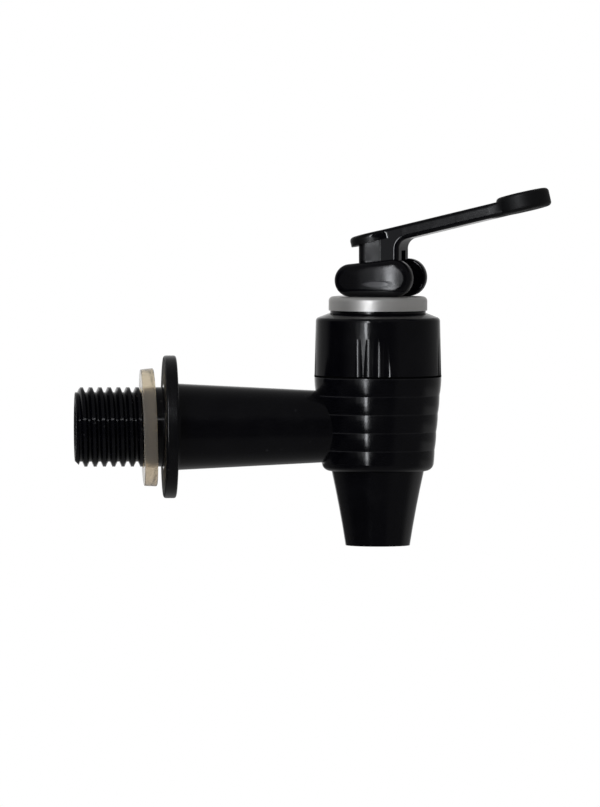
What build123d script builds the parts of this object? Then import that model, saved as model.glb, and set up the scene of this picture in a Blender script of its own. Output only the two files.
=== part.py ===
"""Lever tap for a water dispenser. Shank, flange, tube, barrel and spout are one moulding. A screw cap
holds a silicone valve cup, a sprung stem and a steel ring, and a swivelling cam lever lifts the stem.

Millimetres. X runs out of the wall along the shank, Z is up, and X = 0 is the flange's wall side.
"""

import os
from math import cos, radians, sin

from build123d import *

# Shank and its thread
SHANK_LENGTH = 17.8
THREAD_R = 8.0
THREAD_DEPTH = 1.0
THREAD_PITCH = 1.87
CREST_FLAT = 0.60
ROOT_FLAT = 0.35
LEAD_IN = 1.1
LEAD_TURNS = 0.826
OVER_CUT = 0.33
PLAIN_LAND = 3.2
INLET_R = 5.0
WATERWAY_R = 4.2

# Flange and tube
FLANGE_R = 14.35
FLANGE_T = 2.5
RIM_ROUND = 0.45
TUBE_R = 8.72
TUBE_DRAFT = 0.0506
TUBE_BLEND = 0.7
REACH = 43.2

# Barrel with its hoops
SHOULDER_Z = 10.2
BARREL_R = 12.78
BARREL_DRAFT = 0.0905
BARREL_DEPTH = 19.1
BARREL_ROUND = 1.7
HOOPS = 4
FIRST_HOOP = 3.9
HOOP_PITCH = 3.66
HOOP_CROWN = 0.1
SEAM_BEVEL = 0.18

# Spout
SPOUT_LENGTH = 15.0
SPOUT_STEP = 1.74
SPOUT_TAPER = 2.83
SPOUT_WAIST = 0.13
SPOUT_WALL = 1.7
SPOUT_ROUND = 0.6

# Valve chamber and seat
NECK_RISE = 5.8
NECK_STEP = 2.18
NECK_WALL = 1.8
SEAT_R = 4.2
SEAT_Z = -6.2
SEAT_LIP = 2.2

# Screw cap
CAP_RISE = 11.6
CAP_DRAFT = 0.024
CAP_CORNER = 0.8
CAP_CROWN = 1.1
BOSS_STEP = 3.15
BOSS_RISE = 0.5
CAP_PLAY = 0.05
CEILING_DROP = 3.0
WELL_STEP = 0.6
GUIDE_R = 5.0
GUIDE_RISE = 2.5
GRIP_PATCHES = 4
GRIP_SCOOPS = 4
GRIP_PITCH = 8.3
GRIP_TURN = 261.0
SCOOP_R = 2.2
SCOOP_DEPTH = 0.22
SCOOP_HEIGHT = 7.7

# Steel ring
RING_LIP = 0.3
RING_T = 2.8
RING_TOP_ROUND = 0.9
RING_LOW_ROUND = 0.35
RING_PLAY = 0.05

# Valve cup
CUP_RIM_STEP = 0.6
CUP_RIM_T = 1.6
CUP_GAP = 0.3
CUP_WALL = 1.25
CUP_FLOOR_Z = 3.0
PLUG_R = 5.2
NOSE_BEVEL = 1.8
SOCKET_PLAY = 0.05

# Stem
STEM_R = 2.5
STEM_PLAY = 0.08
COLLAR_R = 4.2
COLLAR_T = 1.4
FOOT_NECK_R = 1.8
FOOT_NECK_LENGTH = 3.5
FOOT_R = 3.0
FOOT_T = 1.9
TONGUE_T = 2.6
TONGUE_DROP = 6.0

# Return spring
SPRING_R = 3.65
WIRE_R = 0.45
SPRING_TURNS = 5.5
GROUND_END = 0.2

# Lever
SWIVEL = -21.0
PAD_BACK_R = 3.3
PAD_BACK_U = -4.2
PAD_FRONT_R = 3.8
PAD_FRONT_U = 4.95
PAD_T = 3.0
PAD_DOME_R = 40.0
PAD_OUTER_ROUND = 1.7
PAD_INNER_ROUND = 0.4
FORK_HALF = 4.3
FORK_LIFT = 0.5
POST_BACK = 3.2
POST_FRONT = 1.9
POST_ROUND = 1.7
POST_TAPER = 0.45
WEB_FRONT = 5.35
NECK_BLEND = 2.2
SLOT_T = 2.8
SLOT_RISE = 5.7
HANDLE_Z = 39.25
HANDLE_PITCH = 13.4
PLATE_T = 1.9
PLATE_ROUND = 0.8
ARM_HALF = 3.9
ARM_T = 2.9
ARM_ROUND = 0.9
HEAD_R = 5.0
HEAD_U = -0.95
PADDLE_R = 5.4
PADDLE_U = 31.1
PADDLE_T = 3.68
PADDLE_RISE = 0.75
PADDLE_ROUND = 0.8
PLAN_BLEND = 3.0

# Lever's pin
PIN_R = 1.25
PIN_RISE = 3.6
PIN_PLAY = 0.05
PIN_COVER = 1.3
PIN_INSET = 0.2
PIN_BEVEL = 0.25

# Loose shank washer
WASHER_R = 11.9
WASHER_T = 2.6
WASHER_FLARE = 0.18
WASHER_PLAY = 0.15
WASHER_DROP = 0.12
WASHER_X = -3.0
WASHER_TILT = 1.9
WASHER_ROUND = 0.25

# Closeness used to pick edges and faces by their place
NEAR = 0.1

# Heights and radii that follow from the sizes above
barrel_bottom = SHOULDER_Z - BARREL_DEPTH
spout_end = barrel_bottom - SPOUT_LENGTH
neck_top = SHOULDER_Z + NECK_RISE
ledge = neck_top + CUP_RIM_T
cap_top = SHOULDER_Z + CAP_RISE
boss_top = cap_top + CAP_CROWN + BOSS_RISE
ceiling = boss_top - CEILING_DROP
ring_top = boss_top + RING_T
pin_z = ring_top + PIN_RISE
collar_top = CUP_FLOOR_Z + COLLAR_T
nose_z = SEAT_Z - (SEAT_R - PLUG_R) - NOSE_BEVEL
spout_top_r = BARREL_R - BARREL_DRAFT * BARREL_DEPTH - SPOUT_STEP
spout_end_r = spout_top_r - SPOUT_TAPER
neck_r = BARREL_R - NECK_STEP
chamber_r = neck_r - NECK_WALL
boss_r = BARREL_R - BOSS_STEP
ring_r = boss_r + RING_LIP

# Planes and axes that several pieces share
lever_x = Vector(cos(radians(SWIVEL)), sin(radians(SWIVEL)), 0)
up = Vector(0, 0, 1)
pitch = radians(HANDLE_PITCH)
barrel_axis = Axis((REACH, 0, 0), (0, 0, 1))
barrel_side = Plane(origin=(REACH, 0, 0), x_dir=(1, 0, 0), z_dir=(0, -1, 0))
lever_side = Plane(origin=(REACH, 0, 0), x_dir=lever_x, z_dir=lever_x.cross(up))
lever_top = Plane(origin=(REACH, 0, ring_top + FORK_LIFT), x_dir=lever_x, z_dir=up)
handle = Plane(
    origin=(REACH, 0, HANDLE_Z),
    x_dir=lever_x * cos(pitch) + up * sin(pitch),
    z_dir=up * cos(pitch) - lever_x * sin(pitch),
)
near_side = Axis((REACH, 0, 0), lever_side.z_dir)


def barrel_r(z):
    """Barrel radius before the hoops are crowned."""
    return BARREL_R - BARREL_DRAFT * (SHOULDER_Z - z)


def on_handle(along, above):
    """A point of the lever's side view, from its place along and above the handle's top face."""
    return (
        along * cos(pitch) - above * sin(pitch),
        HANDLE_Z + along * sin(pitch) + above * cos(pitch),
    )


# Thread groove: a trapezium swept along a right-hand helix, from outside the end to the plain land
with BuildPart() as groove:
    over_end = LEAD_TURNS * THREAD_PITCH
    flank = (THREAD_PITCH - CREST_FLAT - ROOT_FLAT) / 2 / THREAD_DEPTH
    with BuildLine() as coil:
        Helix(
            pitch=THREAD_PITCH,
            height=SHANK_LENGTH - PLAIN_LAND + over_end,
            radius=THREAD_R - THREAD_DEPTH,
            center=(-SHANK_LENGTH - over_end, 0, 0),
            direction=(1, 0, 0),
        )
    with BuildSketch(Plane(origin=coil.line @ 0, x_dir=(1, 0, 0), z_dir=coil.line % 0)):
        with BuildLine():
            root = ROOT_FLAT / 2
            top = THREAD_DEPTH + OVER_CUT
            mouth = root + flank * top
            Polyline(
                (-root, 0),
                (root, 0),
                (mouth, top),
                (-mouth, top),
                close=True,
            )
        make_face()
    sweep(path=coil.line, is_frenet=True)

# Body moulding
with BuildPart() as tap_body:
    with BuildSketch() as turned:
        with BuildLine():
            Polyline(
                (-SHANK_LENGTH, 0),
                (-SHANK_LENGTH, THREAD_R - LEAD_IN),
                (-SHANK_LENGTH + LEAD_IN, THREAD_R),
                (0, THREAD_R),
                (0, FLANGE_R),
                (FLANGE_T, FLANGE_R),
                (FLANGE_T, TUBE_R),
                (REACH, TUBE_R - TUBE_DRAFT * (REACH - FLANGE_T)),
                (REACH, 0),
                close=True,
            )
        make_face()
        fillet(turned.vertices().sort_by_distance((FLANGE_T, TUBE_R))[0], TUBE_BLEND)
        fillet(turned.vertices().group_by(Axis.Y)[-1], RIM_ROUND)
    revolve(axis=Axis.X)
    with BuildSketch(barrel_side) as barrel:
        levels = [SHOULDER_Z]
        levels += [SHOULDER_Z - FIRST_HOOP - HOOP_PITCH * n for n in range(HOOPS)]
        levels += [barrel_bottom]
        with BuildLine():
            for upper, lower in zip(levels, levels[1:]):
                middle = (upper + lower) / 2
                ThreePointArc(
                    (barrel_r(upper), upper),
                    (barrel_r(middle) + HOOP_CROWN, middle),
                    (barrel_r(lower), lower),
                )
            Line((barrel_r(barrel_bottom), barrel_bottom), (spout_top_r, barrel_bottom))
            ThreePointArc(
                (spout_top_r, barrel_bottom),
                ((spout_top_r + spout_end_r) / 2 - SPOUT_WAIST, (barrel_bottom + spout_end) / 2),
                (spout_end_r, spout_end),
            )
            Polyline(
                (spout_end_r, spout_end),
                (0, spout_end),
                (0, neck_top),
                (neck_r, neck_top),
                (neck_r, SHOULDER_Z),
                (BARREL_R, SHOULDER_Z),
            )
        make_face()
        corners = barrel.vertices()
        fillet(corners.sort_by_distance((barrel_r(barrel_bottom), barrel_bottom))[0], BARREL_ROUND)
        fillet(corners.sort_by_distance((spout_end_r, spout_end))[0], SPOUT_ROUND)
        chamfer(corners.sort_by_distance((BARREL_R, SHOULDER_Z))[0], SEAM_BEVEL)
    revolve(axis=barrel_axis)
    with BuildSketch(Plane.YZ.offset(-SHANK_LENGTH)):
        Circle(INLET_R)
    extrude(amount=SHANK_LENGTH, mode=Mode.SUBTRACT)
    with BuildSketch(Plane.YZ):
        Circle(WATERWAY_R)
    extrude(amount=REACH, mode=Mode.SUBTRACT)
    with BuildSketch(barrel_side):
        with BuildLine():
            Polyline(
                (0, neck_top),
                (chamber_r, neck_top),
                (chamber_r, SEAT_Z + chamber_r - SEAT_R),
                (SEAT_R, SEAT_Z),
                (SEAT_R, SEAT_Z - SEAT_LIP),
                (spout_top_r - SPOUT_WALL, SEAT_Z - SEAT_LIP),
                (spout_end_r - SPOUT_WALL, spout_end),
                (0, spout_end),
                close=True,
            )
        make_face()
    revolve(axis=barrel_axis, mode=Mode.SUBTRACT)
    add(groove.part, mode=Mode.SUBTRACT, clean=False)

# Screw cap with its guide for the stem and its grip scoops
with BuildPart() as bonnet_cap:
    cap_top_r = BARREL_R - CAP_DRAFT * CAP_RISE
    with BuildSketch(barrel_side) as section:
        with BuildLine():
            Polyline(
                (neck_r + CAP_PLAY, SHOULDER_Z),
                (BARREL_R, SHOULDER_Z),
                (cap_top_r, cap_top),
                (boss_r, cap_top + CAP_CROWN),
                (boss_r, boss_top),
                (GUIDE_R, boss_top),
                (GUIDE_R, boss_top + GUIDE_RISE),
                (STEM_R + STEM_PLAY, boss_top + GUIDE_RISE),
                (STEM_R + STEM_PLAY, ceiling),
                (chamber_r - WELL_STEP, ceiling),
                (chamber_r - WELL_STEP, ledge),
                (neck_r + CAP_PLAY, ledge),
                close=True,
            )
        make_face()
        corners = section.vertices()
        fillet(corners.sort_by_distance((cap_top_r, cap_top))[0], CAP_CORNER)
        chamfer(corners.sort_by_distance((BARREL_R, SHOULDER_Z))[0], SEAM_BEVEL)
    revolve(axis=barrel_axis)
    with BuildSketch(Plane.XY.offset(SHOULDER_Z)):
        spread = GRIP_PITCH * (GRIP_SCOOPS - 1)
        scoop_axis_r = BARREL_R + SCOOP_R - SCOOP_DEPTH
        with Locations((REACH, 0)), PolarLocations(0, GRIP_PATCHES, start_angle=GRIP_TURN):
            with PolarLocations(
                scoop_axis_r, GRIP_SCOOPS, -spread / 2, spread, endpoint=True
            ):
                Circle(SCOOP_R)
    extrude(amount=SCOOP_HEIGHT, mode=Mode.SUBTRACT)

# Steel ring that the lever's pads ride on
with BuildPart() as steel_ring:
    with BuildSketch(barrel_side) as section:
        with BuildLine():
            Polyline(
                (GUIDE_R + RING_PLAY, boss_top),
                (ring_r, boss_top),
                (ring_r, ring_top),
                (GUIDE_R + RING_PLAY, ring_top),
                close=True,
            )
        make_face()
        corners = section.vertices()
        fillet(corners.sort_by_distance((ring_r, ring_top))[0], RING_TOP_ROUND)
        fillet(corners.sort_by_distance((ring_r, boss_top))[0], RING_LOW_ROUND)
    revolve(axis=barrel_axis)

# Silicone cup: a clamped rim, a bell and a plug with a socket for the stem's foot
foot_top = CUP_FLOOR_Z - FOOT_NECK_LENGTH
with BuildPart() as seat_cup:
    bell_r = chamber_r - CUP_GAP
    with BuildSketch(barrel_side):
        with BuildLine():
            Polyline(
                (0, nose_z),
                (PLUG_R - NOSE_BEVEL, nose_z),
                (PLUG_R, nose_z + NOSE_BEVEL),
                (PLUG_R, CUP_FLOOR_Z),
                (COLLAR_R + CUP_GAP + CUP_WALL, collar_top),
                (bell_r, neck_top),
                (neck_r - CUP_RIM_STEP, neck_top),
                (neck_r - CUP_RIM_STEP, ledge),
                (bell_r - CUP_WALL, ledge),
                (bell_r - CUP_WALL, neck_top),
                (COLLAR_R + CUP_GAP, collar_top),
                (COLLAR_R + CUP_GAP, CUP_FLOOR_Z),
                (FOOT_NECK_R + SOCKET_PLAY, CUP_FLOOR_Z),
                (FOOT_NECK_R + SOCKET_PLAY, foot_top + SOCKET_PLAY),
                (FOOT_R + SOCKET_PLAY, foot_top + SOCKET_PLAY),
                (FOOT_R + SOCKET_PLAY, foot_top - FOOT_T - SOCKET_PLAY),
                (0, foot_top - FOOT_T - SOCKET_PLAY),
                close=True,
            )
        make_face()
    revolve(axis=barrel_axis)

# Stem: foot, spring collar, round rod and a flat tongue for the lever's pin
with BuildPart() as valve_stem:
    with BuildSketch(barrel_side):
        with BuildLine():
            Polyline(
                (0, pin_z + STEM_R),
                (0, foot_top - FOOT_T),
                (FOOT_R, foot_top - FOOT_T),
                (FOOT_R, foot_top),
                (FOOT_NECK_R, foot_top),
                (FOOT_NECK_R, CUP_FLOOR_Z),
                (COLLAR_R, CUP_FLOOR_Z),
                (COLLAR_R, collar_top),
                (STEM_R, collar_top),
                (STEM_R, pin_z),
            )
            RadiusArc((STEM_R, pin_z), (0, pin_z + STEM_R), -STEM_R)
        make_face()
    revolve(axis=barrel_axis)
    for side in (1, -1):
        with BuildSketch(lever_side.offset(side * TONGUE_T / 2)):
            with Locations((0, pin_z - TONGUE_DROP)):
                Rectangle(2 * TONGUE_DROP, 2 * TONGUE_DROP, align=(Align.CENTER, Align.MIN))
        extrude(amount=side * STEM_R, mode=Mode.SUBTRACT)
    with BuildSketch(lever_side):
        with Locations((0, pin_z)):
            Circle(PIN_R + PIN_PLAY)
    extrude(amount=STEM_R, both=True, mode=Mode.SUBTRACT)

# Return spring between the stem's collar and the cap's ceiling, with ground ends
with BuildPart() as return_spring:
    free_height = ceiling - collar_top - 2 * GROUND_END
    with BuildLine() as coil:
        Helix(
            pitch=free_height / SPRING_TURNS,
            height=free_height,
            radius=SPRING_R,
            center=(REACH, 0, collar_top + GROUND_END),
        )
    with BuildSketch(Plane(origin=coil.line @ 0, z_dir=coil.line % 0)):
        Circle(WIRE_R)
    sweep(path=coil.line, is_frenet=True)
    split(bisect_by=Plane.XY.offset(collar_top), keep=Keep.TOP)
    split(bisect_by=Plane.XY.offset(ceiling), keep=Keep.BOTTOM)

# Handle plate: round head, arm and paddle in plan
with BuildPart() as plate:
    with BuildSketch(handle) as plan:
        with Locations((HEAD_U, 0)):
            Circle(HEAD_R)
        with Locations((PADDLE_U, 0)):
            Circle(PADDLE_R)
        with Locations(((HEAD_U + PADDLE_U) / 2, 0)):
            Rectangle(PADDLE_U - HEAD_U, 2 * ARM_HALF)
        fillet(
            plan.vertices().filter_by(lambda v: abs(abs(v.Y) - ARM_HALF) < NEAR),
            PLAN_BLEND,
        )
    extrude(amount=-PLATE_T)
    fillet(plate.faces().sort_by(Axis((REACH, 0, 0), handle.z_dir))[-1].edges(), PLATE_ROUND)

# Thicker thumb paddle
with BuildPart() as paddle:
    with BuildSketch(handle.offset(PADDLE_RISE - PADDLE_T)):
        with Locations((PADDLE_U, 0)):
            Circle(PADDLE_R)
    extrude(amount=PADDLE_T)
    fillet(paddle.edges().filter_by(GeomType.CIRCLE), PADDLE_ROUND)

# Spine: the neck's front web and the arm's underside in one sweep, rounded along its edge
with BuildPart() as spine:
    under = (WEB_FRONT - ARM_T * sin(pitch)) / cos(pitch)
    with BuildSketch(lever_side) as side_view:
        with BuildLine():
            Polyline(
                (0, ring_top + FORK_LIFT),
                (WEB_FRONT, ring_top + FORK_LIFT),
                on_handle(under, -ARM_T),
                on_handle(PADDLE_U, -ARM_T),
                on_handle(PADDLE_U, -PLATE_T / 2),
                on_handle(0, -PLATE_T / 2),
                close=True,
            )
        make_face()
        fillet(side_view.vertices().sort_by_distance(on_handle(under, -ARM_T))[0], NECK_BLEND)
    extrude(amount=ARM_HALF, both=True)
    front_faces = spine.faces().filter_by(
        lambda f: abs(f.normal_at().dot(lever_side.z_dir)) < NEAR
        and f.normal_at().dot(lever_x - up) > NEAR
    )
    fillet(
        front_faces.edges().filter_by(
            lambda e: abs(abs(lever_side.to_local_coords(e.center()).Z) - ARM_HALF) < NEAR
        ),
        ARM_ROUND,
    )

# Post: the full-width rear half of the neck, narrowing to the front
with BuildPart() as post:
    with BuildSketch(lever_top) as plan:
        with BuildLine():
            front_half = FORK_HALF - POST_TAPER
            Polyline(
                (-POST_BACK, -FORK_HALF),
                (POST_FRONT, -front_half),
                (POST_FRONT, front_half),
                (-POST_BACK, FORK_HALF),
                close=True,
            )
        make_face()
        fillet(plan.vertices().group_by(Axis.X)[0], POST_ROUND)
    extrude(amount=HANDLE_Z - ring_top)
    split(bisect_by=handle.offset(-PLATE_T / 2), keep=Keep.BOTTOM)

# Egg-shaped cam pad on the near side of the fork, with a domed face
with BuildPart() as pad:
    pad_face = FORK_HALF + PAD_T
    with BuildSketch(lever_side.offset(ARM_HALF)):
        with Locations((PAD_BACK_U, ring_top + PAD_BACK_R)):
            Circle(PAD_BACK_R)
        with Locations((PAD_FRONT_U, ring_top + PAD_FRONT_R)):
            Circle(PAD_FRONT_R)
        make_hull()
    extrude(amount=pad_face - ARM_HALF)
    middle = (PAD_BACK_U - PAD_BACK_R + PAD_FRONT_U + PAD_FRONT_R) / 2
    with Locations(lever_side.from_local_coords((middle, pin_z, pad_face - PAD_DOME_R))):
        Sphere(PAD_DOME_R, mode=Mode.INTERSECT)
    fillet(pad.faces().sort_by(near_side)[-1].edges(), PAD_OUTER_ROUND)
    fillet(pad.faces().sort_by(near_side)[0].edges(), PAD_INNER_ROUND)

# One-piece lever
with BuildPart() as lever:
    add(plate.part)
    add(paddle.part)
    add(spine.part)
    add(post.part)
    add(pad.part)
    mirror(pad.part, about=lever_side)
    with BuildSketch(lever_side):
        with Locations((0, ring_top)):
            Rectangle(
                2 * (PAD_FRONT_U + PAD_FRONT_R),
                pin_z - ring_top + SLOT_RISE,
                align=(Align.CENTER, Align.MIN),
            )
    extrude(amount=SLOT_T / 2, both=True, mode=Mode.SUBTRACT)
    blind_end = pad_face - PIN_COVER
    with BuildSketch(lever_side.offset(blind_end)):
        with Locations((0, pin_z)):
            Circle(PIN_R)
    extrude(amount=-2 * pad_face, mode=Mode.SUBTRACT)

# Steel pin, pushed in from the far pad and blind on the near one
with BuildPart() as pivot_pin:
    with BuildSketch(lever_side.offset(blind_end)):
        with Locations((0, pin_z)):
            Circle(PIN_R)
    extrude(amount=-(blind_end + pad_face - PIN_INSET))
    chamfer(pivot_pin.edges().filter_by(GeomType.CIRCLE), PIN_BEVEL)

# Loose silicone washer, hanging a little askew on the shank
tilt = radians(WASHER_TILT)
with BuildPart(
    Plane(origin=(WASHER_X, 0, -WASHER_DROP), x_dir=(0, 1, 0), z_dir=(cos(tilt), 0, sin(tilt)))
) as shank_washer:
    Cone(WASHER_R - WASHER_FLARE, WASHER_R, WASHER_T)
    Cylinder(THREAD_R + WASHER_PLAY, WASHER_T, mode=Mode.SUBTRACT)
    fillet(shank_washer.edges().filter_by(GeomType.CIRCLE).sort_by(SortBy.RADIUS)[-2:], WASHER_ROUND)

os.makedirs("parts", exist_ok=True)
for name, piece in {
    "tap_body": tap_body,
    "bonnet_cap": bonnet_cap,
    "steel_ring": steel_ring,
    "seat_cup": seat_cup,
    "valve_stem": valve_stem,
    "return_spring": return_spring,
    "lever": lever,
    "pivot_pin": pivot_pin,
    "shank_washer": shank_washer,
}.items():
    piece.part.label = name
    export_step(piece.part, f"parts/{name}.step")
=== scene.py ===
"""Dispensing tap in black moulded plastic: finishes with painted highlights and painted top light, a
ring of painted shade in the seam, copies of inner pieces, studio light and camera.

Metres, in the part's own frame. X runs out of the wall along the shank, Z is up, and the picture is
taken from -Y. Finishes work in millimetres.
"""

from math import cos, radians, sin

import bmesh
import bpy
import numpy as np
from mathutils import Matrix, Vector


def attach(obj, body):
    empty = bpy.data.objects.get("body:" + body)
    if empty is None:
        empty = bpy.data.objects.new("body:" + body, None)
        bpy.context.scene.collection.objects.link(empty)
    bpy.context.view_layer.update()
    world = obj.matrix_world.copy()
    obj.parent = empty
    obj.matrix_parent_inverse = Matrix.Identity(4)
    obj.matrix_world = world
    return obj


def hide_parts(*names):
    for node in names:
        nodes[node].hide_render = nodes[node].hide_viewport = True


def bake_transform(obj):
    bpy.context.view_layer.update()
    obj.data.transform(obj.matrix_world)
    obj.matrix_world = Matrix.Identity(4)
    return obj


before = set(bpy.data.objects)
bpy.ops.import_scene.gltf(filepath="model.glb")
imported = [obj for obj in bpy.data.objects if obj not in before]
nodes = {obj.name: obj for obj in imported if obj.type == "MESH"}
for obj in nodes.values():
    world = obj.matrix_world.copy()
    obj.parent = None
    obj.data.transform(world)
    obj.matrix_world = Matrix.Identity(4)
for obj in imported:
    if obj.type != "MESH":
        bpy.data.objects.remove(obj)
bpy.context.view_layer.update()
scene = bpy.context.scene

# From the flange's wall side to the barrel's axis, and how far the lever is swivelled to the front
REACH = 0.0432
REACH_MM = REACH * 1000
SWIVEL = radians(-21.0)
# The groove between cap and barrel
BARREL_R = 0.01278
SEAM_Z = 0.0102
# Heights of the lines between the barrel's hoops, in millimetres
HOOP_LINES = [9.88] + [6.3 - 3.66 * n for n in range(4)]
# Roughness of the clean black moulding, and how deep moulded peel and fine lines go
BLACK_GLOSS = 0.13
PEEL_DEPTH = 0.00004
LINE_DEPTH = 0.00003
# What the lamps face, and the floor's height and half its side
TAP_MIDDLE = (0.0275, 0, 0.004)
BARREL_MIDDLE = (REACH, 0, 0.01)
FLOOR_Z = -0.22
FLOOR_HALF = 1.5
WHITE = (1, 1, 1, 1)


class Value:
    """A shader socket that takes part in Python sums: an expression adds its Math nodes."""

    def __init__(self, finish, socket):
        self.finish = finish
        self.socket = socket

    def math(self, operation, *others, clamp=False):
        settings = {"operation": operation, "use_clamp": clamp}
        inputs = {i: v for i, v in enumerate((self, *others))}
        return self.finish.node("ShaderNodeMath", settings, inputs)

    def __add__(self, other):
        return self.math("ADD", other)

    def __sub__(self, other):
        return self.math("SUBTRACT", other)

    def __rsub__(self, other):
        return self.math("MULTIPLY_ADD", -1.0, other)

    def __mul__(self, other):
        return self.math("MULTIPLY", other)

    def __truediv__(self, other):
        return self.math("DIVIDE", other)

    def __pow__(self, other):
        return self.math("POWER", other)

    __radd__ = __add__
    __rmul__ = __mul__

    def clamped(self):
        return self.math("ADD", 0.0, clamp=True)

    def above(self, level, steepness):
        """Nothing up to level, then rising by steepness to one."""
        return ((self - level) * steepness).clamped()

    def below(self, level, steepness):
        """Nothing from level up, and rising by steepness to one under it."""
        return ((level - self) * steepness).clamped()

    def bell(self, centre, width):
        """One at centre, falling smoothly to nothing a width away: (1 - min(1, |x - centre| / width))
        squared."""
        return (1 - (self - centre).math("ABSOLUTE") / width).clamped() ** 2

    def beside(self, out):
        """Another output of the same node."""
        return Value(self.finish, self.socket.node.outputs[out])


class Finish:
    """A node tree, for a material or the world, and the one method that adds nodes to it."""

    def __init__(self, owner):
        owner.use_nodes = True
        self.tree = owner.node_tree
        self.tree.nodes.clear()

    def node(self, kind, settings=None, inputs=None, out=0):
        made = self.tree.nodes.new(kind)
        for name, value in (settings or {}).items():
            setattr(made, name, value)
        for name, value in (inputs or {}).items():
            if isinstance(value, Value):
                self.tree.links.new(value.socket, made.inputs[name])
            else:
                made.inputs[name].default_value = value
        return Value(self, made.outputs[out]) if len(made.outputs) else None

    def spot(self):
        """The Object coordinate."""
        return self.node("ShaderNodeTexCoord", out="Object")

    def millimetres(self, spot):
        """A coordinate's three parts, in millimetres."""
        parts = self.node("ShaderNodeSeparateXYZ", inputs={0: spot})
        return [parts.beside(i) * 1000.0 for i in range(3)]

    def rays(self):
        """Whether the camera, a gloss or clear silicone sees this."""
        camera = self.node("ShaderNodeLightPath", out="Is Camera Ray")
        return camera, camera.beside("Is Glossy Ray"), camera.beside("Is Transmission Ray")

    def noise(self, spot, scale, detail=3.0, roughness=0.5, stretch=(1.0, 1.0, 1.0)):
        """Noise from nothing to one, its coordinate stretched along each axis first."""
        moved = self.node("ShaderNodeMapping", inputs={"Vector": spot, "Scale": stretch})
        return self.node(
            "ShaderNodeTexNoise",
            inputs={"Vector": moved, "Scale": scale, "Detail": detail, "Roughness": roughness},
        )

    def mix(self, amount, first, second):
        """A colour that goes from first to second as amount goes from nothing to one."""
        return self.node(
            "ShaderNodeMix", {"data_type": "RGBA"}, {0: amount, 6: first, 7: second}, out=2
        )

    def bump(self, height, strength, depth):
        inputs = {"Height": height, "Strength": strength, "Distance": depth}
        return self.node("ShaderNodeBump", inputs=inputs)

    def surface(self, **inputs):
        """A Principled surface from its sockets' names, with spaces written as underscores."""
        named = {name.replace("_", " "): value for name, value in inputs.items()}
        shader = self.node("ShaderNodeBsdfPrincipled", inputs=named)
        self.node("ShaderNodeOutputMaterial", inputs={"Surface": shader})


def lever_wear_and_highlight(finish, spot, clouds, peel):
    """The lever's own wear and a painted highlight, as the highlight's amount and tint, dullness and
    relief. The neck and the thumb paddle are duller and the web beside the neck is sleeker. An oval on
    the near pad, over the pin's blind end, is sunk and painted faintly lighter as a highlight. Along runs
    from the barrel's axis to the paddle."""
    neck_foot, neck_top, neck_front = 33.2, 38.4, 1.8
    web_foot, web_back, web_front = 33.0, 1.7, 6.4
    paddle_start = 24.0
    mark_along, mark_height, mark_half_length, mark_half_height = 2.15, 28.85, 3.5, 0.76
    x, y, z = finish.millimetres(spot)
    across = x - REACH_MM
    along = across * cos(SWIVEL) + y * sin(SWIVEL)
    near_side = across * sin(SWIVEL) - y * cos(SWIVEL)
    neck = z.above(neck_foot, 3.0) * z.below(neck_top, 3.0) * along.below(neck_front, 3.0)
    paddle = along.above(paddle_start, 0.5)
    web = along.above(web_back, 2.0) * along.below(web_front, 1.2) * z.above(web_foot, 3.0)
    off_along = ((along - mark_along) / mark_half_length) ** 2
    off_mark = (off_along + ((z - mark_height) / mark_half_height) ** 2) ** 0.5
    # The oval on the near pad: sunk by the relief, and painted lighter as a highlight
    mark = off_mark.below(1.0, 2.5) * near_side.clamped()
    dull = neck * (0.10 + peel * 0.25) + paddle * 0.38 - web * 0.11
    return mark * (0.3 + clouds), (0.06, 0.06, 0.064, 1), dull, neck * peel * 5.0 - mark * 14.0


def body_wear_and_highlight(finish, spot, clouds):
    """The body's own wear and painted highlights, as the amount and tint of lint and highlight, dullness
    and relief. Pale lines are painted between the barrel's hoops as the highlights of their edges,
    stronger towards the tube, and lint lies on the tube and the shank. The flange's rim and wall side and
    the end of the shank are duller. The painted lines keep to the barrel, where the radius is under
    12.03 plus 0.0905 times the height."""
    line_half, tube_end, shank_end = 0.2, 30.0, -17.7
    shank_radius, rim_radius, rim_middle, rim_reach = 8.3, 13.2, 1.25, 2.2
    x, y, z = finish.millimetres(spot)
    across = x - REACH_MM
    radius = (across * across + y * y) ** 0.5
    girth = (y * y + z * z) ** 0.5
    on_barrel = radius.below(12.03 + z * 0.0905, 10.0)
    lines = sum((z.bell(level, line_half) for level in HOOP_LINES), 0.0)
    # Painted highlights: pale lines between the hoops, stronger towards the tube
    painted_hoop_lines = lines * on_barrel * (clouds * 0.4 + (across * -0.06).clamped() * 0.6)
    specks = (finish.noise(spot, 700.0, detail=1.0) - 0.73).clamped()
    lint = specks * x.below(tube_end, 0.5) * 6.0
    flange_rim = girth.above(rim_radius, 2.0) * x.bell(rim_middle, rim_reach).math("SQRT")
    wall_side = x.below(0.125, 8.0) * girth.above(shank_radius, 2.0) + x.below(shank_end, 8.0)
    dull = flange_rim * 0.12 + wall_side.clamped() * 0.45
    # The pale tint is shared by the lint and the painted hoop highlights
    return (painted_hoop_lines + lint).clamped(), (0.03, 0.03, 0.032, 1), dull, 0.0


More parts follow.
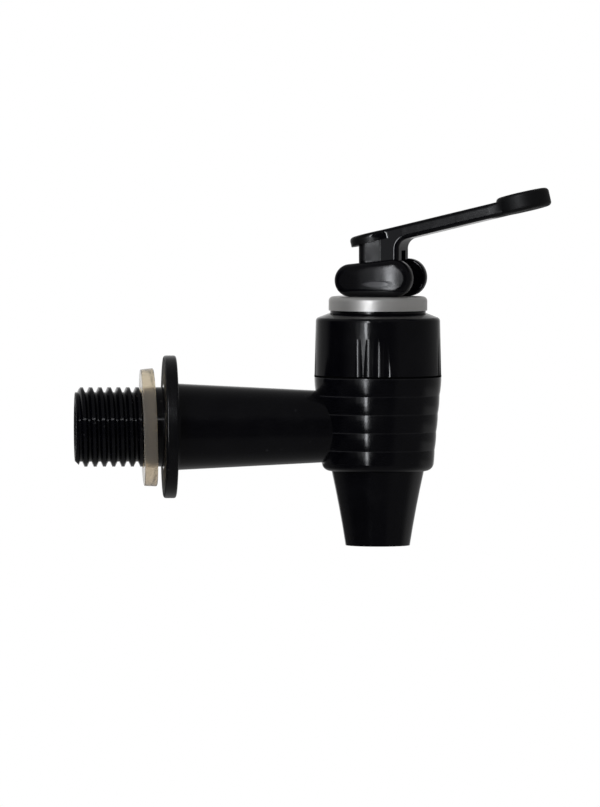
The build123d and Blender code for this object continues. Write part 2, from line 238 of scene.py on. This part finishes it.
def moulded_black(name, lever=False):
    """Glossy black moulding: a faint orange peel, duller clouds where it was handled and fine rub marks,
    with the lever's or the body's own wear and painted highlights over them."""
    material = bpy.data.materials.new(name)
    finish = Finish(material)
    spot = finish.spot()
    clouds = finish.noise(spot, 190.0, detail=4.0, roughness=0.55)
    rubs = finish.noise(spot, 900.0, detail=5.0, roughness=0.7, stretch=(1.0, 1.0, 0.12))
    peel = finish.noise(spot, 620.0, detail=2.0, roughness=0.4)
    specks = (finish.noise(spot, 2600.0, detail=2.0, roughness=0.6) - 0.66).clamped() * 3.0
    handled = (clouds - 0.45).clamped() * 2.0
    wear_and_highlight = lever_wear_and_highlight(finish, spot, clouds, peel) if lever else body_wear_and_highlight(finish, spot, clouds)
    # Lint, and highlights painted lighter on the lever's oval and between the barrel's hoops
    lint_and_highlight, tint, dull, relief = wear_and_highlight
    amount = handled * 0.5 + specks * 0.25
    plain = finish.mix(amount, (0.0008, 0.0008, 0.0016, 1), (0.003, 0.003, 0.0042, 1))
    finish.surface(
        Base_Color=finish.mix(lint_and_highlight, plain, tint),
        Roughness=(BLACK_GLOSS + handled * 0.14 + (rubs - 0.5) * 0.08 + dull).clamped(),
        IOR=1.5,
        Normal=finish.bump(peel + rubs * 0.25 + relief, 0.10, PEEL_DEPTH),
    )
    return material


def turned_steel(name):
    """Satin steel ring: fine lathe lines round its axis on the side and the top, and cloudy handling."""
    material = bpy.data.materials.new(name)
    finish = Finish(material)
    spot = finish.spot()
    x, y, z = finish.millimetres(spot)
    across = x - REACH_MM
    radius = (across * across + y * y) ** 0.5
    lines = finish.node(
        "ShaderNodeTexNoise",
        {"noise_dimensions": "1D"},
        {"W": z * 1.7 + radius * 1.9, "Scale": 5.0, "Detail": 5.0, "Roughness": 0.75},
    )
    clouds = finish.noise(spot, 260.0, detail=3.0)
    finish.surface(
        Base_Color=finish.mix(clouds, (0.60, 0.59, 0.57, 1), (0.78, 0.77, 0.75, 1)),
        Metallic=0.8,
        Roughness=(0.26 + lines * 0.16 + clouds * 0.10).clamped(),
        Normal=finish.bump(lines, 0.25, LINE_DEPTH),
    )
    return material


def drawn_steel(name):
    """Bright drawn wire and pin stock, with a little greyness."""
    material = bpy.data.materials.new(name)
    finish = Finish(material)
    grey = finish.noise(finish.spot(), 500.0, detail=4.0, roughness=0.6)
    finish.surface(
        Base_Color=finish.mix(grey, (0.50, 0.49, 0.47, 1), (0.72, 0.71, 0.70, 1)),
        Metallic=1.0,
        Roughness=0.18 + grey * 0.2,
        Normal=finish.bump(grey, 0.15, LINE_DEPTH),
    )
    return material


def cream_silicone(name):
    """Milky silicone: cream with cloudy depth, painted paler to the top and darker to the bottom as light
    from above, a satin skin with a grey bloom, and a faint pebble."""
    material = bpy.data.materials.new(name)
    finish = Finish(material)
    spot = finish.spot()
    z = finish.millimetres(spot)[2]
    clouds = finish.noise(spot, 120.0, detail=3.0)
    pebble = finish.noise(spot, 1500.0, detail=2.0)
    # Painted light: paler towards the top and darker towards the bottom, over random clouds
    top_light_and_clouds = (clouds * 0.4 + z * 0.035 + 0.3).clamped()
    finish.surface(
        Base_Color=finish.mix(top_light_and_clouds, (0.43, 0.345, 0.24, 1), (0.69, 0.59, 0.42, 1)),
        Roughness=0.10 + pebble * 0.08,
        Transmission_Weight=0.97,
        Sheen_Weight=0.11,
        Sheen_Roughness=1.0,
        IOR=1.41,
        Normal=finish.bump(pebble, 0.15, PEEL_DEPTH),
    )
    return material


def pale_plastic(name):
    """Natural acetal of the hidden stem: pale, waxy, with faint flow clouds."""
    material = bpy.data.materials.new(name)
    finish = Finish(material)
    flow = finish.noise(finish.spot(), 160.0, detail=4.0, stretch=(1.0, 1.0, 0.3))
    finish.surface(
        Base_Color=finish.mix(flow, (0.68, 0.67, 0.63, 1), (0.80, 0.79, 0.76, 1)),
        Roughness=0.38 + flow * 0.12,
        Normal=finish.bump(flow, 0.1, PEEL_DEPTH),
    )
    return material


black = moulded_black("black_moulding")
finishes = {
    "tap_body": black,
    "bonnet_cap": black,
    "lever": moulded_black("black_lever", lever=True),
    "steel_ring": turned_steel("ring_steel"),
    "pivot_pin": drawn_steel("pin_steel"),
    "return_spring": drawn_steel("wire_steel"),
    "seat_cup": cream_silicone("cup_silicone"),
    "shank_washer": cream_silicone("washer_silicone"),
    "valve_stem": pale_plastic("stem_acetal"),
}
for name, material in finishes.items():
    for slot in nodes[name].material_slots:
        slot.material = material


def painted_seam_shade():
    """Painted shade in the groove under the cap: a black ring without gloss, whose section is a triangle
    with its point inwards. Turn t and corner c give the centre plus r(c) (cos t, sin t) and the height
    h(c)."""
    turns, corners = 240, 3
    sunk, proud, half_height = 0.00015, 0.00002, 0.00019
    angles = np.arange(turns) * 2 * np.pi / turns
    turn, corner = np.meshgrid(angles, np.arange(corners), indexing="ij")
    radius = BARREL_R + np.array([-sunk, proud, proud])[corner]
    height = SEAM_Z + np.array([0.0, half_height, -half_height])[corner]
    round_ring = [REACH + radius * np.cos(turn), radius * np.sin(turn), height]
    points = np.stack(round_ring, axis=-1).reshape(-1, 3)
    here = np.arange(turns * corners).reshape(turns, corners)
    ahead, beside = np.roll(here, -1, axis=0), np.roll(here, 1, axis=1)
    faces = np.stack([here, ahead, np.roll(ahead, 1, axis=1), beside], axis=-1).reshape(-1, 4)
    mesh = bpy.data.meshes.new("painted_seam_shade")
    mesh.from_pydata(points.tolist(), [], faces.tolist())
    ring = bpy.data.objects.new("painted_seam_shade", mesh)
    scene.collection.objects.link(ring)
    # Black without gloss: the painted shade that darkens the groove
    material = bpy.data.materials.new("painted_shade_black")
    finish = Finish(material)
    shade_grain = finish.noise(finish.spot(), 1800.0, detail=4.0, roughness=0.7)
    finish.surface(
        Base_Color=finish.mix(shade_grain, (0.0004, 0.0004, 0.0004, 1), (0.002, 0.002, 0.002, 1)),
        Roughness=0.8 + shade_grain * 0.2,
        Specular_IOR_Level=0.0,
        Normal=finish.bump(shade_grain, 0.3, LINE_DEPTH),
    )
    mesh.materials.append(material)
    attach(ring, "tap")


painted_seam_shade()


def yielding(name, node):
    """A copy of a hidden spring or cup as it is drawn, its doubled points merged and its transform baked
    in; the drawn part is hidden."""
    same_point = 1e-6
    drawn = nodes[node]
    mesh = drawn.data.copy()
    mesh.transform(drawn.matrix_world)
    edit = bmesh.new()
    edit.from_mesh(mesh)
    bmesh.ops.remove_doubles(edit, verts=edit.verts, dist=same_point)
    edit.to_mesh(mesh)
    edit.free()
    piece = bpy.data.objects.new(name, mesh)
    scene.collection.objects.link(piece)
    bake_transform(piece)
    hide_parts(node)


yielding("closing_spring", "return_spring")
yielding("lifting_cup", "seat_cup")


def pale_floor():
    """Plain pale floor: white paper to the camera, with part of its real light and shade left in near the
    tap. In the gloss of the plastic it is dim, a little brighter under the tap and towards the back, and
    darker to the left and straight ahead of the tap."""
    low, high = -FLOOR_HALF, FLOOR_HALF
    corners = [(low, low, FLOOR_Z), (high, low, FLOOR_Z), (high, high, FLOOR_Z), (low, high, FLOOR_Z)]
    mesh = bpy.data.meshes.new("pale_floor")
    mesh.from_pydata(corners, [], [(0, 1, 2, 3)])
    floor = bpy.data.objects.new("pale_floor", mesh)
    scene.collection.objects.link(floor)
    material = bpy.data.materials.new("floor_paper")
    finish = Finish(material)
    camera, glossy, through = finish.rays()
    x, y = finish.millimetres(finish.spot())[:2]
    across = x - REACH_MM
    reach = (across * across + y * y) ** 0.5
    near = (1 - reach / 140.0).clamped()
    to_back = ((y + 50.0) / 300.0).clamped()
    under = (1 - reach / 400.0).clamped()
    to_left = ((x + 50.0) / -150.0).clamped()
    ahead = ((y * -0.6 - across.math("ABSOLUTE")) / 100.0).clamped() * ((y + 300.0) / -200.0).clamped()
    sheen = (to_back * 0.16 + under * 0.02 + 0.085) * (1 - to_left * 0.75) * (1 - ahead * 0.5)
    pale = {"Base Color": (0.85, 0.85, 0.85, 1), "Roughness": 0.9}
    paper = finish.node("ShaderNodeBsdfPrincipled", inputs=pale)
    white = finish.node("ShaderNodeEmission", inputs={"Color": WHITE, "Strength": 1.0})
    grey = finish.mix(sheen, (0, 0, 0, 1), WHITE)
    dim = finish.node("ShaderNodeEmission", inputs={"Color": grey, "Strength": 1.0})
    reflected = glossy * (1 - through)
    lit = finish.node("ShaderNodeMixShader", inputs={0: reflected, 1: paper, 2: dim})
    seen = (camera * (1 - near * 0.15) + through).clamped()
    shown = finish.node("ShaderNodeMixShader", inputs={0: seen, 1: lit, 2: white})
    finish.node("ShaderNodeOutputMaterial", inputs={"Surface": shown})
    mesh.materials.append(material)


pale_floor()


def studio_world():
    """White paper all round for the camera and through clear silicone, plain light for colour, and for
    gloss a dim room that brightens to the back, most of all straight behind: 0.085, plus 0.15 times the
    square of (y + 0.3) / 1.3, plus 0.6 times y to the twelfth. Straight to the left it is nearly black,
    and behind the camera it is dark."""
    plain_light = 0.75
    world = bpy.data.worlds.new("studio")
    scene.world = world
    finish = Finish(world)
    toward = finish.node("ShaderNodeTexCoord", out="Generated")
    aside = finish.node("ShaderNodeSeparateXYZ", inputs={0: toward})
    depth = aside.beside(1)
    camera, glossy, through = finish.rays()
    room = ((depth + 0.3) / 1.3).clamped() ** 2 * 0.15 + depth.clamped() ** 12 * 0.6 + 0.085
    dark_side = (aside * -6.0 - 4.8).clamped() * (1.8 - depth * 4.0).clamped()
    dark_front = (depth * -9.0 - 7.3).clamped()
    room = room * (1 - dark_side * 0.95) * (1 - dark_front * 0.6)
    seen = (camera + through).clamped()
    strength = seen + (1 - seen) * (glossy * room + (1 - glossy) * plain_light)
    glow = finish.node("ShaderNodeBackground", inputs={"Color": WHITE, "Strength": strength})
    finish.node("ShaderNodeOutputWorld", inputs={"Surface": glow})


studio_world()


def from_middle(azimuth, elevation):
    """The direction out from a middle point. Azimuth is from -Y, towards +X, and both are in degrees."""
    turn, lift = radians(azimuth), radians(elevation)
    return Vector((sin(turn) * cos(lift), -cos(turn) * cos(lift), sin(lift)))


def soft_lamp(name, azimuth, elevation, distance, width, height, power, middle=BARREL_MIDDLE):
    """Rectangular lamp on a sphere round a middle point, turned to face it. Angles are in degrees,
    lengths in metres and power in watts."""
    out = from_middle(azimuth, elevation)
    light = bpy.data.lights.new(name, "AREA")
    light.shape = "RECTANGLE"
    light.size, light.size_y, light.energy = width, height, power
    light.color = (0.94, 0.96, 1.0)
    lamp = bpy.data.objects.new(name, light)
    lamp.location = Vector(middle) + out * distance
    lamp.rotation_euler = out.to_track_quat("Z", "Y").to_euler()
    scene.collection.objects.link(lamp)


soft_lamp("left_strip", -25.9, 14.2, 0.45, 0.035, 0.434, 0.6)
soft_lamp("strip_foot", -25.9, -15, 0.45, 0.035, 0.06, 0.025)
soft_lamp("left_sheet", -33, 16, 0.9, 0.09, 0.8, 0.26)
soft_lamp("left_wall", -41, 16, 0.9, 0.125, 0.8, 0.09)
soft_lamp("shank_lamp", -0.16, 24, 0.9, 0.034, 0.045, 0.025, TAP_MIDDLE)


def photo_camera():
    """Long lens from 2 m, a little left of square and a little above, framed as the picture is, 600 by
    807."""
    azimuth, elevation, roll = -3.4, 2.2, radians(0.05)
    distance, pixels_per_metre, frame_width = 2.0, 4970.0, 600.0
    sensor = 36.0
    looked_at = Vector((0.0275, 0, 0.00465))
    lens = bpy.data.cameras.new("photo_camera")
    lens.sensor_fit = "HORIZONTAL"
    lens.sensor_width = sensor
    lens.lens = sensor * distance * pixels_per_metre / frame_width
    camera = bpy.data.objects.new("photo_camera", lens)
    back = from_middle(azimuth, elevation)
    turn = back.to_track_quat("Z", "Y").to_matrix().to_4x4() @ Matrix.Rotation(roll, 4, "Z")
    camera.matrix_world = Matrix.Translation(looked_at + back * distance) @ turn
    scene.collection.objects.link(camera)
    scene.camera = camera


photo_camera()
scene.view_settings.view_transform = "Standard"
